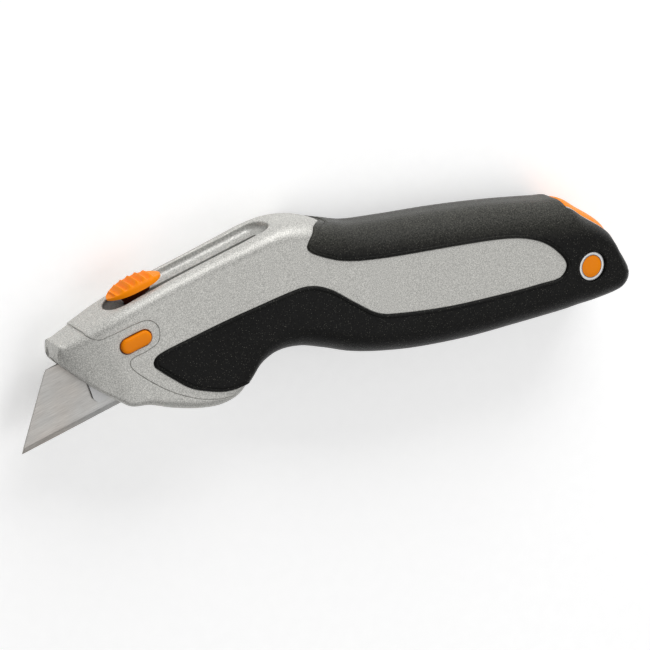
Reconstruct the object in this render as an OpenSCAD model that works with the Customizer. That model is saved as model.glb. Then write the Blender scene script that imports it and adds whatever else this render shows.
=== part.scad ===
// Retractable utility knife: die-cast body in three castings, rubber grips,
// a blade on a sliding carrier, and spare blades behind a turning tail lid.
//
// Drawing frame used by every module: X runs from the blade's tip to the tail, Y runs from
// the cutting edge up to the spine, and Z runs from the middle of the body to its left side.
// The blade's tip is at (0, 0, 0). placed() then lays the knife down on its right side.

/* [Blade] */
// Length of the blade along its cutting edge
blade_l = 61; // [60.5:0.5:61.5]
// Height of the blade from edge to back
blade_h = 19; // [18.5:0.5:19]
// Thickness of the blade
blade_t = 0.6; // [0.4:0.1:0.7]
// How far the blade draws back into the body
travel = 36; // [34:1:36]
// Number of spare blades in the handle
spare_count = 5; // [1:1:5]

/* [Body] */
// Thickness of the silver body in the handle
handle_t = 22.6; // [22:0.2:23]
// Thickness of the silver body behind the nose
front_t = 18; // [17:0.5:18.5]
// How far the rubber grips stand proud of the silver
grip_proud = 0.7; // [0.4:0.1:1]
// Depth of the bed that the rubber grips sit in
grip_bed = 1.2; // [0.8:0.1:1.5]

/* [Slider] */
// Length of the ribbed thumb cap
cap_l = 16.8; // [15:0.2:17]
// Width of the ribbed thumb cap
cap_w = 9.4; // [8:0.2:9.4]
// How far the thumb cap presses down to free the slide
cap_press = 0.5; // [0.3:0.1:0.5]

/* [Release button] */
// Length of the blade release button
button_l = 9.2; // [8.6:0.2:9.2]
// Height of the blade release button
button_h = 4.1; // [3.7:0.1:4.1]
// How far the release button presses in
button_press = 1.2; // [0.8:0.1:1.2]

/* [Tail] */
// Diameter of the tail lid's pivot pins
pivot_d = 6.5; // [6:0.1:6.6]
// Width of the tail lid between the two sides of the body
lid_w = 13; // [12:0.2:13]

/* [Hidden] */

// Where the drawing frame's origin goes: the row's origin is on the resting side, under this point
home_x = 94.71;
home_y = -4;
half_t = handle_t / 2 + grip_proud;

// Running gap between parts that move past each other
gap = 0.3;
// Running gap round a pin
pin_gap = 0.05;
// Larger than the whole knife, for cutting tools
far = 300;

// Half thickness of the body at the front and in the handle
wf = front_t / 2;
wh = handle_t / 2;

// Body stations from nose to tail, one after the other along the knife. Each one is
// [spine x, spine y, belly x, belly y, half thickness, spine edge radius, belly edge radius].
STATIONS = [
    [18.4, 25.0, 17.3, 21.8, 4.2, 0.7, 0.7],
    [18.9, 25.6, 17.9, 19.6, 5.0, 2.0, 1.0],
    [20.5, 25.8, 20.4, 15.4, 6.0, 2.8, 1.0],
    [25.0, 26.2, 24.0, 9.8, wf - 1.8, 3.2, 1.2],
    [29.5, 26.7, 28.4, 4.2, wf - 0.9, 3.5, 1.4],
    [34.0, 27.2, 31.4, 0.9, wf - 0.3, 3.5, 1.6],
    [39.5, 27.7, 36.5, -1.4, wf, 3.5, 2.4],
    [46.0, 28.0, 42.5, -5.6, wf, 3.5, 3.0],
    [54.0, 28.2, 49.5, -9.4, wf, 3.5, 3.0],
    [61.0, 28.3, 56.0, -11.6, wf, 3.5, 3.0],
    [67.0, 28.3, 61.8, -11.4, wf + 0.1, 3.5, 3.2],
    [72.0, 28.3, 66.4, -8.9, wf + 0.4, 3.6, 4.5],
    [77.5, 28.3, 71.2, -6.2, wf + 0.8, 3.8, 6.0],
    [84.0, 28.4, 77.5, -5.3, wf + 1.1, 4.2, 6.5],
    [91.0, 27.8, 84.5, -7.3, wh - 1.0, 5.2, 7.0],
    [98.0, 25.6, 91.5, -11.4, wh - 0.6, 7.4, 7.0],
    [104.5, 21.1, 98.5, -16.1, wh - 0.3, 8.6, 7.0],
    [111.5, 16.7, 106.5, -20.1, wh - 0.1, 8.8, 7.0],
    [123.0, 12.7, 118.0, -24.7, wh, 9.0, 7.0],
    [140.0, 7.3, 134.0, -29.6, wh, 9.0, 7.0],
    [157.0, 1.2, 150.0, -33.3, wh, 9.0, 7.0],
    [171.5, -4.7, 165.2, -36.6, wh, 8.8, 7.0],
    [176.6, -7.0, 171.6, -37.7, wh, 8.6, 7.0],
    [180.4, -12.1, 176.6, -38.5, wh, 8.0, 6.5],
    [186.6, -20.0, 183.2, -39.2, wh, 7.6, 6.0],
    [188.2, -26.7, 186.4, -38.6, wh - 0.4, 6.4, 4.5],
    [189.1, -32.4, 188.4, -36.6, wh - 1.6, 2.0, 2.0]
];
// Sections drawn between two stations, and steps in each rounded edge
STEPS = 2;
EDGE_STEPS = 3;

// Edge of the silver tongue and of the lower pad, from the pad's front point back round
// the tongue and up to the spine
TONGUE = [
    [40.8, 9.9], [43.6, 11.7], [56, 11.6], [72, 11.2], [84.6, 10.6], [91, 9.4], [96.4, 5.7],
    [102.1, -1.2], [107.6, -7.3], [114, -10.6], [129.6, -16.2], [148.1, -21.2], [159.5, -23.8],
    [166, -25], [169.2, -22.6], [168.4, -18.6], [164.5, -12.9], [158.1, -8.1], [149.5, -4.3],
    [135.3, 0.4], [114, 7.2], [102.8, 11.8], [95.8, 16.9], [93.6, 19.8], [94.6, 21.6],
    [97, 22.9], [101, 25], [103, 28]
];
// Front edge of the lower pad, from the belly up to the pad's front point
PAD_FRONT = [[66.5, -9.5], [63.6, -8.6], [60, -8.3], [55.8, -6.7], [49.2, -2.3], [44.6, 3.3], [41, 8.6]];
// Seam between the nose casting and the two housings, from the spine down to the guard
SEAM = [
    [26.4, 26.8], [27.1, 24.5], [29, 23.2], [31.5, 23], [40.8, 22.9], [44.4, 21.6], [45.7, 18.6],
    [44.3, 15.2], [40.5, 14.3], [36.4, 14.3], [34.7, 13.4], [35, 11], [38, 6.2], [42.5, 0.6],
    [47.5, -4.1], [52.5, -7.5], [57.5, -9.6], [61.5, -10.2]
];

// Thumb slot and the hollow round it
slot_w = 3;
hollow_w = 10;
hollow_x = 35.8;
hollow_l = 52.8;
hollow_floor = 25.6;
cap_x = 37.5;
cap_y = 29;
stem_x = 42.2;
stem_l = 6;
stem_w = 2.4;

// Room inside for the blade and its carrier
room_top = 24.6;
room_half = 3.5;
ROOM = [[30.3, room_top], [30.3, 5.5], [38, 2.2], [41.5, -1], [98.5, -1], [98.5, 20.2], [96.4, room_top]];

// Carrier, given with the blade out
carrier_x = 41;
carrier_end = 62.2;
plate_x = 33;
plate_y = 15.1;
plate_t = 2;
face_gap = 0.1;
rail_y = blade_h + 0.5;
rail_top = 23.7;
rail_end = 60;
rail_half = 3.1;
foot_y = 21.6;
pocket_depth = 1.4;

// Latch on the far side of the blade
latch_x = 36;
latch_y = 15.4;
latch_h = 3.7;
latch_t = 0.6;
latch_top = -1.2;
latch_pivot_x = 58;
latch_tab_l = 4.5;
latch_tab_h = 5.3;
latch_pin_d = 1.2;
knuckle_d = 2.4;
notch_w = 3.2;
notch_y = blade_h - 1.2;
notch_pitch = 13;
peg_d = 2.6;
slant = 14;

// Release button, under its lobe of the nose
button_x = 38.3;
button_y = 18.2;
button_top = wf + 0.8;
button_rest = 7.1;
button_flange = 0.8;
pusher_l = 5;
pusher_h = 1.1;
pusher_y = blade_h + 0.45;
retainer_t = 0.6;
retainer_z = button_rest - button_flange - button_press - 0.9 - retainer_t;
spring_d = 2.4;
spring_wire = 0.3;
spring_turns = 1.75;

// Blade guides in the nose
GUIDE = [[24, 9.2], [24, 5.2], [24.8, 3.7], [30, 3.7], [30, 14], [24, 14]];
guide_t = 0.7;

// Lug of the nose casting that the front screw goes through
LUG = [[44, -2.6], [46, -1.5], [59.6, -1.5], [59.6, -9.1], [56, -9.2], [48, -5.6]];
lug_half = 4.8;

// Magazine in the handle: its frame starts at the lid end and slopes with the handle
mag_x = 171;
mag_y = -7.6;
mag_tilt = -16.3;
mag_l = blade_l + 2;
mag_h = blade_h + 2.6;
mag_half = 4.1;
tray_wall = 0.8;

// Tail lid and its pivot
pivot_x = 177;
pivot_y = -26.6;
pivot_r = pivot_d / 2;
lid_half = lid_w / 2;
LID_FIRST = 44;
LID_LAST = 48;
strip_t = 2.6;
strip_sink = 0.7;
strip_crown = 1.6;
roll_r = 11.2;
roll_t = 1.8;
cheek_t = 1.6;
hub_r = 5.4;
ring_r = 4.3;
ring_base = 6.9;
pivot_face = wh + 0.1;
sweep_r = 13.2;
room_foot = -35.9;

// Screws that clamp the two housings, put in from the right side
SCREWS = [[57, -3.8], [102.6, 4], [158, -29.5]];
screw_d = 2.6;
screw_head_d = 4.4;
screw_head_h = 1.8;
screw_head_z = -wf + 1.4;
screw_tip_z = 3.6;
boss_d = 6.4;

// Hollow casting: wall thickness, and the ribs left across it
casting_wall = 2.6;
rib_t = 1.4;
RIBS = [40, 52, 66, 80, 94, 112, 126, 140, 154];

// ---------------------------------------------------------------- helpers

// Lays the knife down: right side on the ground, the middle of the body half_t above it
module placed() {
    translate([-home_x, -home_y, half_t]) children();
}

// Catmull-Rom point between b and c
function between(a, b, c, d, t) =
    0.5 * (2 * b + (c - a) * t + (2 * a - 5 * b + 4 * c - d) * t * t + (3 * b - a - 3 * c + d) * t * t * t);

// Smooth open curve through the points of a list
function smooth(p, steps) = concat(
    [for (i = [0 : len(p) - 2]) for (k = [0 : steps - 1])
        between(p[max(i - 1, 0)], p[i], p[i + 1], p[min(i + 2, len(p) - 1)], k / steps)],
    [p[len(p) - 1]]
);

SECTIONS = smooth(STATIONS, STEPS);
LAST = len(SECTIONS) - 1;

// Left half of one body section, grown by g, from the spine round the side to the belly;
// its flat back lies at z = base
function half_ring(s, g, base) =
    let (top = [s[0], s[1]], low = [s[2], s[3]], up = (top - low) / norm(top - low), w = min(s[4], wh) + g,
         rt = max(s[5] + g, 0.3), rb = max(s[6] + g, 0.3), t = top + up * g, b = low - up * g)
    concat(
        [[t[0], t[1], base]],
        [for (k = [0 : EDGE_STEPS])
            let (a = 90 * k / EDGE_STEPS, q = t - up * rt * (1 - cos(a)))
            [q[0], q[1], w - rt + rt * sin(a)]],
        [for (k = [EDGE_STEPS : -1 : 0])
            let (a = 90 * k / EDGE_STEPS, q = b + up * rb * (1 - cos(a)))
            [q[0], q[1], w - rb + rb * sin(a)]],
        [[b[0], b[1], base]]
    );

// Left half of the body's outer form, grown by g, between two of its sections
module half_form(g, first = 0, last = LAST, base = 0) {
    rings = [for (i = [first : last]) half_ring(SECTIONS[i], g, base)];
    n = 2 * EDGE_STEPS + 4;
    count = len(rings);
    skin = [for (i = [0 : count - 2]) for (k = [0 : n - 1])
        let (a = i * n + k, b = i * n + (k + 1) % n, c = a + n, d = b + n)
        each [[a, d, b], [a, c, d]]];
    front = [for (k = [0 : n - 1]) k];
    back = [for (k = [n - 1 : -1 : 0]) (count - 1) * n + k];
    polyhedron([for (r = rings) each r], concat(skin, [front, back]), convexity = 6);
}

// Puts a flat shape between the heights z0 and z1
module slab(z0, z1) {
    translate([0, 0, z0]) linear_extrude(z1 - z0) children();
}

// Flat shape that covers the rubber grip, seen from the left side
module grip_region() {
    polygon(concat(
        smooth(TONGUE, 3),
        [[101, 60], [far, 60], [far, -60], [66.5, -60]],
        smooth(PAD_FRONT, 3)
    ));
}

// Flat shape that covers the nose casting, drawn in by inset
module nose_region(inset) {
    offset(delta = -inset)
        polygon(concat([[-20, 60], [26.4, 60]], smooth(SEAM, 3), [[66.5, -12], [66.5, -60], [-20, -60]]));
}

// Rounded bar outline of length l and width w, from the origin along X
module stadium(l, w) {
    translate([w / 2, 0]) circle(d = w, $fn = 24);
    translate([l - w / 2, 0]) circle(d = w, $fn = 24);
    translate([w / 2, -w / 2]) square([l - w, w]);
}

// Points on an arc round the lid's pivot
function pivot_arc(r, a0, a1, steps) =
    [for (k = [0 : steps]) let (a = a0 + (a1 - a0) * k / steps) [pivot_x + r * cos(a), pivot_y + r * sin(a)]];

// Hollow in the spine with the thumb slot through its floor
module thumb_hollow() {
    translate([hollow_x, far, 0]) rotate([90, 0, 0])
        linear_extrude(far - hollow_floor) stadium(hollow_l, hollow_w);
    translate([stem_x - 0.9, far, 0]) rotate([90, 0, 0])
        linear_extrude(far - room_top + 1) stadium(stem_l + travel + 1.8, slot_w);
}

// Space for the magazine, open towards the tail
module magazine_room() {
    translate([mag_x, mag_y, 0]) rotate([0, 0, mag_tilt])
        translate([-mag_l - gap, -mag_h - gap, -mag_half - gap])
            cube([mag_l + 12, mag_h + 2 * gap, 2 * (mag_half + gap)]);
}

// Space in the tail that the lid turns in
module tail_room() {
    slab(-lid_half - gap, lid_half + gap) {
        translate([pivot_x, pivot_y]) circle(r = roll_r + 0.5, $fn = 48);
        polygon(concat([[pivot_x, pivot_y]], pivot_arc(sweep_r, 40, -67, 10)));
        polygon([[pivot_x - 5.8, pivot_y], [175.3, -9.9], [176.3, 20], [far, 20],
                 [far, room_foot], [pivot_x, room_foot]]);
    }
}

// Holes for the screws, with room for their heads on the right side
module screw_holes() {
    for (p = SCREWS) translate([p[0], p[1], 0]) {
        slab(-far, screw_tip_z + 1) circle(d = screw_d + 2 * gap, $fn = 24);
        slab(-far, screw_head_z + screw_head_h) circle(d = screw_head_d + 2 * gap, $fn = 24);
    }
}

// Hollow inside one housing half, with its ribs, bosses and bearing walls left standing
module casting_hollow() {
    difference() {
        half_form(-casting_wall, 12, 42, -1);
        slab(-1, far) {
            for (x = RIBS) translate([x, -60]) square([rib_t, 120]);
            for (p = SCREWS) translate(p) circle(d = boss_d, $fn = 24);
            nose_region(-1.6);
            translate([hollow_x - 4, hollow_floor - 2]) square([hollow_l + 8, 10]);
            translate([166, -60]) square([40, 120]);
        }
    }
}

// Left half of the housing pair
module housing_half() {
    difference() {
        half_form(0);
        slab(-far, far) nose_region(-0.12);
        difference() {
            slab(-1, far) grip_region();
            half_form(-grip_bed, 12, LAST, -2);
        }
        casting_hollow();
        slab(-room_half, room_half) polygon(ROOM);
        magazine_room();
        tail_room();
        thumb_hollow();
        slab(-lug_half - gap, lug_half + gap) offset(delta = gap) polygon(LUG);
        slab(-1, far) translate([pivot_x, pivot_y]) circle(r = ring_r + 0.08, $fn = 40);
    }
}

// Rubber grip of the left side
module grip_half() {
    difference() {
        intersection() {
            half_form(grip_proud, 12);
            slab(0, far) grip_region();
        }
        half_form(-grip_bed, 12, LAST, -2);
        tail_room();
        slab(-1, far) translate([pivot_x, pivot_y]) circle(r = ring_r + 0.6, $fn = 40);
    }
}

// ---------------------------------------------------------------- body

// Right housing: the casting that lies underneath
module right_housing() {
    color("silver") placed() resize([0, 0, 0]) difference() {
        mirror([0, 0, 1]) housing_half();
        screw_holes();
    }
}

// Left housing: the casting on top
module left_housing() {
    color("silver") placed() resize([0, 0, 0]) difference() {
        housing_half();
        screw_holes();
    }
}

// Nose and finger guard in one casting, with the blade's slot and the release button's hole
module nose_guard() {
    color("silver") placed() resize([0, 0, 0]) difference() {
        union() {
            intersection() {
                union() {
                    half_form(0);
                    mirror([0, 0, 1]) half_form(0);
                }
                slab(-far, far) nose_region(0);
            }
            slab(-lug_half, lug_half) polygon(LUG);
        }
        translate([-1, -1, -blade_t / 2 - 0.25]) cube([70, blade_h + 1.5, blade_t + 0.5]);
        slab(-guide_t - blade_t / 2 - 0.3, guide_t + blade_t / 2 + 0.3) offset(delta = 0.15) polygon(GUIDE);
        slab(-room_half, room_half) polygon(ROOM);
        thumb_hollow();
        slab(0, far) translate([button_x - button_l / 2 - gap, button_y])
            stadium(button_l + 2 * gap, button_h + 2 * gap);
        translate([button_x - button_l / 2 - 1.2, button_y - button_h / 2 - 1.2, 0])
            cube([button_l + 2.4, button_h + 2.4, button_rest + gap]);
        screw_holes();
    }
}

// Rubber grip of the right side, which the knife rests on
module right_grip() {
    color([0.13, 0.13, 0.13]) placed() resize([0, 0, 0]) difference() {
        mirror([0, 0, 1]) grip_half();
        screw_holes();
    }
}

// Rubber grip of the left side
module left_grip() {
    color([0.13, 0.13, 0.13]) placed() resize([0, 0, 0]) grip_half();
}

// Screws that hold the two housings together
module housing_screws() {
    color("dimgray") placed() for (p = SCREWS) translate([p[0], p[1], screw_head_z]) difference() {
        union() {
            cylinder(d = screw_head_d, h = screw_head_h, $fn = 40);
            cylinder(d = screw_d, h = screw_tip_z - screw_head_z, $fn = 32);
        }
        translate([-1.4, -0.3, -0.1]) cube([2.8, 0.6, 0.9]);
        translate([-0.3, -1.4, -0.1]) cube([0.6, 2.8, 0.9]);
    }
}

// ---------------------------------------------------------------- blade and carrier

// Outline of one blade, with two notches in its back
module blade_outline() {
    difference() {
        polygon([[0, 0], [blade_l, 0], [blade_l - slant, blade_h], [slant + 0.6, blade_h],
                 [slant - 0.4, blade_h - 1]]);
        for (side = [-1, 1]) translate([blade_l / 2 + side * notch_pitch / 2, notch_y]) {
            circle(d = notch_w, $fn = 32);
            translate([-notch_w / 2, 0]) square([notch_w, notch_w]);
        }
    }
}

// Trapezoid blade in the carrier
module blade() {
    color("lightgray") placed() slab(-blade_t / 2, blade_t / 2) blade_outline();
}

// Thin wear plates that guide the blade through the nose, one on each face
module blade_guides() {
    inner = blade_t / 2 + face_gap;
    color("gray") placed() {
        slab(inner, inner + guide_t) polygon(GUIDE);
        slab(-inner - guide_t, -inner) polygon(GUIDE);
    }
}

// Carrier: a plate beside the blade, a rail over it and a stop behind it
module blade_carrier() {
    face = blade_t / 2 + face_gap;
    color("orangered") placed() difference() {
        union() {
            slab(-face - plate_t, -face)
                polygon([[plate_x, plate_y], [plate_x, 6.5], [40, 3.4], [48, 1], [carrier_end, 1],
                         [carrier_end, plate_y]]);
            slab(-face - plate_t, face + plate_t)
                polygon([[blade_l + 0.5, 1], [carrier_end, 1], [carrier_end, plate_y],
                         [blade_l - slant + 3.8, plate_y]]);
            slab(face, face + plate_t)
                polygon([[54, 1], [carrier_end, 1], [carrier_end, 8], [54, 8]]);
            translate([rail_end - 0.2, plate_y - 0.1, -face - plate_t])
                cube([carrier_end - rail_end + 0.2, rail_y - plate_y + 0.7, 2 * (face + plate_t)]);
            translate([carrier_x, rail_y, -rail_half])
                cube([rail_end - carrier_x, rail_top - rail_y, 2 * rail_half]);
        }
        translate([stem_x - 0.15, foot_y - pocket_depth, -stem_w / 2 - 0.15])
            cube([stem_l + 0.3, 10, stem_w + 0.3]);
        translate([latch_pivot_x, plate_y - 1.5, latch_top - latch_t / 2]) rotate([-90, 0, 0])
            cylinder(d = latch_pin_d + 2 * pin_gap, h = 10, $fn = 32);
    }
}

// Latch that holds the blade by its rear notch, on the blade's right face
module blade_latch() {
    axis_z = latch_top - latch_t / 2;
    color("darkgray") placed() difference() {
        union() {
            translate([latch_x, latch_y, latch_top - latch_t])
                cube([latch_pivot_x - latch_x, latch_h, latch_t]);
            translate([latch_x, latch_y, latch_top - latch_t]) cube([latch_tab_l, latch_tab_h, latch_t]);
            translate([latch_pivot_x, latch_y, axis_z]) rotate([-90, 0, 0])
                cylinder(d = knuckle_d, h = latch_h, $fn = 32);
            translate([blade_l / 2 + notch_pitch / 2, notch_y, latch_top - 0.1])
                cylinder(d = peg_d, h = 0.1 - latch_top + 0.2, $fn = 32);
        }
        translate([latch_pivot_x, latch_y - 1, axis_z]) rotate([-90, 0, 0])
            cylinder(d = latch_pin_d + 2 * pin_gap, h = latch_h + 2, $fn = 32);
    }
}

// Pin that the latch turns on
module latch_pin() {
    color("gainsboro") placed() translate([latch_pivot_x, plate_y - 1.4, latch_top - latch_t / 2])
        rotate([-90, 0, 0]) cylinder(d = latch_pin_d, h = 6.8, $fn = 32);
}

// ---------------------------------------------------------------- slider

// Thumb cap with its ribs, and the stem that reaches down into the carrier
module slider_button() {
    color([0.93, 0.5, 0.05]) placed() {
        resize([0, 0, 0]) difference() {
            translate([cap_x + cap_l / 2, cap_y, 0]) rotate([-90, 0, 0]) hull() {
                scale([cap_l, cap_w]) cylinder(d = 1, h = 0.9, $fn = 32);
                scale([cap_l * 0.72, cap_w * 0.66]) cylinder(d = 1, h = 2.9, $fn = 32);
            }
            for (k = [-2 : 2]) translate([cap_x + cap_l / 2 + 2.2 * k, cap_y + 3, -cap_w])
                linear_extrude(2 * cap_w) circle(r = 0.7, $fn = 8);
        }
        translate([stem_x, foot_y, -stem_w / 2]) cube([stem_l, cap_y - foot_y, stem_w]);
    }
}

// Leaf spring under the stem, drawn pressed flat enough to stay clear of it
module slider_spring() {
    rise = pocket_depth - cap_press - 0.15;
    color("gainsboro") placed() translate([stem_x, foot_y - pocket_depth]) slab(-0.9, 0.9)
        polygon([[0.1, 0], [1, 0], [2.6, rise - 0.2], [3.4, rise - 0.2], [5, 0], [5.9, 0],
                 [5.9, 0.2], [5.1, 0.2], [3.5, rise], [2.5, rise], [0.9, 0.2], [0.1, 0.2]]);
}

// Notched strip over the carrier that gives the slide its stops
module detent_plate() {
    color("gray") placed() translate([0, room_top, 0]) rotate([90, 0, 0]) translate([0, 0, 0.05])
        linear_extrude(0.6) difference() {
            translate([42, -3.3]) square([46, 1.5]);
            for (k = [0 : 3])
                translate([stem_x + stem_l / 2 + k * travel / 3, -1.8]) circle(d = 1.6, $fn = 24);
        }
}

// ---------------------------------------------------------------- release button

// Release button: its stadium face, the flange that keeps it in, and the pusher for the latch
module release_button() {
    x0 = button_x - button_l / 2;
    color([0.93, 0.5, 0.05]) placed() {
        slab(button_rest - button_flange, button_top) translate([x0, button_y]) stadium(button_l, button_h);
        slab(button_rest - button_flange, button_rest)
            translate([x0 - 0.8, button_y - button_h / 2 - 0.8]) square([button_l + 1.6, button_h + 1.6]);
        slab(latch_top + 0.1, button_rest)
            translate([button_x - pusher_l / 2, pusher_y]) square([pusher_l, pusher_h]);
    }
}

// Small coil spring that returns the release button
module release_spring() {
    sides = 8;
    per_turn = 16;
    low = retainer_z + retainer_t + spring_wire / 2;
    high = button_rest - button_flange - spring_wire / 2;
    r = (spring_d - spring_wire) / 2;
    steps = round(spring_turns * per_turn);
    points = [for (i = [0 : steps]) for (k = [0 : sides - 1])
        let (a = 360 * i / per_turn, b = 360 * k / sides, q = r + spring_wire / 2 * cos(b))
        [q * cos(a), q * sin(a), low + (high - low) * i / steps + spring_wire / 2 * sin(b)]];
    skin = [for (i = [0 : steps - 1]) for (k = [0 : sides - 1])
        let (a = i * sides + k, b = i * sides + (k + 1) % sides)
        each [[a, b + sides, a + sides], [a, b, b + sides]]];
    color("gainsboro") placed() translate([button_x, button_y - 0.8, 0])
        polyhedron(points, concat(skin, [[for (k = [sides - 1 : -1 : 0]) k],
                                         [for (k = [0 : sides - 1]) steps * sides + k]]));
}

// Plate under the button's pocket that the spring stands on
module button_retainer() {
    color("gray") placed() slab(retainer_z, retainer_z + retainer_t) difference() {
        translate([button_x - button_l / 2 - 1, button_y - button_h / 2 - 1])
            square([button_l + 2, button_h + 2]);
        translate([button_x - pusher_l / 2 - 0.2, pusher_y - 0.2])
            square([pusher_l + 0.4, pusher_h + 0.4]);
    }
}

// ---------------------------------------------------------------- magazine

// Places its children in the magazine's sloping frame: X back from the lid end, Y down from the top
module in_magazine() {
    placed() translate([mag_x, mag_y, 0]) rotate([0, 0, mag_tilt]) children();
}

// Tray that holds the spare blades, open at the lid end
module magazine_tray() {
    color([0.2, 0.2, 0.2]) in_magazine() difference() {
        translate([-mag_l, -mag_h, -mag_half]) cube([mag_l, mag_h, 2 * mag_half]);
        translate([-mag_l + tray_wall, -mag_h + tray_wall, -mag_half + tray_wall])
            cube([mag_l, mag_h - 2 * tray_wall, 2 * mag_half]);
    }
}

// Spare blades, stacked flat in the tray
module spare_blades() {
    inset = tray_wall + 0.4;
    color("lightgray") in_magazine() for (k = [0 : spare_count - 1])
        translate([inset - mag_l, inset - mag_h, tray_wall + 0.1 - mag_half + k * (blade_t + 0.05)])
            linear_extrude(blade_t) blade_outline();
}

// Bowed leaf spring that keeps the spare blades from rattling
module magazine_spring() {
    low = tray_wall + 0.25 - mag_half + 5 * 0.75;
    color("gainsboro") in_magazine() translate([0, -mag_h / 2 - 3, low]) rotate([90, 0, 0])
        linear_extrude(6)
            polygon([[-58, 2.6], [-54, 2.6], [-36, 0], [-32, 0], [-14, 2.6], [-10, 2.6],
                     [-10, 2.9], [-14.1, 2.9], [-32.1, 0.3], [-35.9, 0.3], [-53.9, 2.9], [-58, 2.9]]);
}

// ---------------------------------------------------------------- tail lid

// Line of the spine over the lid, moved away from the pivot by h; skip leaves out points at both ends
function lid_rim(h, skip = 0) =
    [for (i = [LID_FIRST + skip : LID_LAST - skip])
        let (p = [SECTIONS[i][0], SECTIONS[i][1]], out = p - [pivot_x, pivot_y]) p + out * h / norm(out)];

// Tail lid: the crowned strip that closes the tail, a rolling wall under it, and two cheeks on pivot pins
module tail_lid() {
    under = lid_rim(-strip_t);
    roll = concat(pivot_arc(roll_r, 46, -38, 14), pivot_arc(roll_r - roll_t, -38, 46, 14));
    color([0.93, 0.5, 0.05]) placed() {
        for (k = [0 : 4]) slab(-lid_half * sqrt(1 - k / 5), lid_half * sqrt(1 - k / 5))
            polygon(concat(lid_rim(strip_crown * k / 5 - strip_sink, k > 2 ? 1 : 0),
                           [for (i = [len(under) - 1 : -1 : 0]) under[i]]));
        slab(-lid_half, lid_half) polygon(roll);
        for (side = [-1, 1]) {
            slab(side > 0 ? lid_half - cheek_t : -lid_half, side > 0 ? lid_half : cheek_t - lid_half) {
                polygon(concat([[pivot_x - hub_r, pivot_y]], lid_rim(-strip_sink),
                               pivot_arc(roll_r, 30, -38, 8)));
                translate([pivot_x, pivot_y]) circle(r = hub_r, $fn = 48);
            }
            mirror([0, 0, side > 0 ? 0 : 1]) translate([pivot_x, pivot_y, lid_half - 0.2])
                cylinder(r = pivot_r, h = pivot_face - lid_half + 0.2, $fn = 48);
        }
    }
}

// Steel ring in the left housing that the lid's left pin turns in
module pivot_ring() {
    translate([pivot_x, pivot_y, ring_base]) difference() {
        cylinder(r = ring_r, h = pivot_face + 0.1 - ring_base, $fn = 48);
        translate([0, 0, -1]) cylinder(r = pivot_r + pin_gap, h = far, $fn = 48);
    }
}

// Ring in the left housing
module left_pivot_ring() {
    color("silver") placed() pivot_ring();
}

// Ring in the right housing
module right_pivot_ring() {
    color("silver") placed() mirror([0, 0, 1]) pivot_ring();
}

// ---------------------------------------------------------------- the knife

right_housing();
left_housing();
nose_guard();
right_grip();
left_grip();
housing_screws();
blade_guides();
detent_plate();
blade();
blade_carrier();
blade_latch();
latch_pin();
slider_button();
slider_spring();
release_button();
release_spring();
button_retainer();
magazine_tray();
spare_blades();
magazine_spring();
tail_lid();
left_pivot_ring();
right_pivot_ring();
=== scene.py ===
"""Looks of the retractable utility knife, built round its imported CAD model.

Shapes are written in the knife's own drawing frame, in millimetres: X from the blade's tip to the
tail, Y from the cutting edge to the spine, Z from the middle of the body to its left side.
world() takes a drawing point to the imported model's frame, in metres.
"""

import math

import bpy
import numpy as np
from mathutils import Matrix, Vector
from mathutils.geometry import delaunay_2d_cdt
from mathutils.kdtree import KDTree

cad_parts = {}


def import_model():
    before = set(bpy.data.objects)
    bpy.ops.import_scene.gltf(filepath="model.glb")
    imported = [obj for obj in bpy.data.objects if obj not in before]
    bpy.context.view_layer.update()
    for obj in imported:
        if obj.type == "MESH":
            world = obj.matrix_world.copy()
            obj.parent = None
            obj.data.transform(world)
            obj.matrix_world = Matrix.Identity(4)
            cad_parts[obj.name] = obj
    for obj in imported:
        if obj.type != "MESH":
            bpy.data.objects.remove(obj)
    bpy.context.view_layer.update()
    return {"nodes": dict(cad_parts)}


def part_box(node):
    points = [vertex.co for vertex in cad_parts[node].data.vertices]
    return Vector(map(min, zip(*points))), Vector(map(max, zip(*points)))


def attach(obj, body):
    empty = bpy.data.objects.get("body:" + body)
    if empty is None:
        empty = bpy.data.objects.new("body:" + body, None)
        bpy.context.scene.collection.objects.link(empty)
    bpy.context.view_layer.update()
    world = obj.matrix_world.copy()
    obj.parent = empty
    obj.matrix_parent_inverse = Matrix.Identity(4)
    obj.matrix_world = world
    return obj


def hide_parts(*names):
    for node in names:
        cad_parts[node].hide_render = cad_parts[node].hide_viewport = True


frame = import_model()

MM = 0.001
_low, _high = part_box("blade")
HOME = np.array([_low.x, _low.y, (_low.z + _high.z) / 2])


def world(points):
    """Drawing points, in millimetres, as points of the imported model, in metres."""
    return HOME + np.asarray(points, float) * MM


# ---------------- the body's form

# Half thickness of the body at the front and in the handle
WF = 9.0
WH = 11.3

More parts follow.
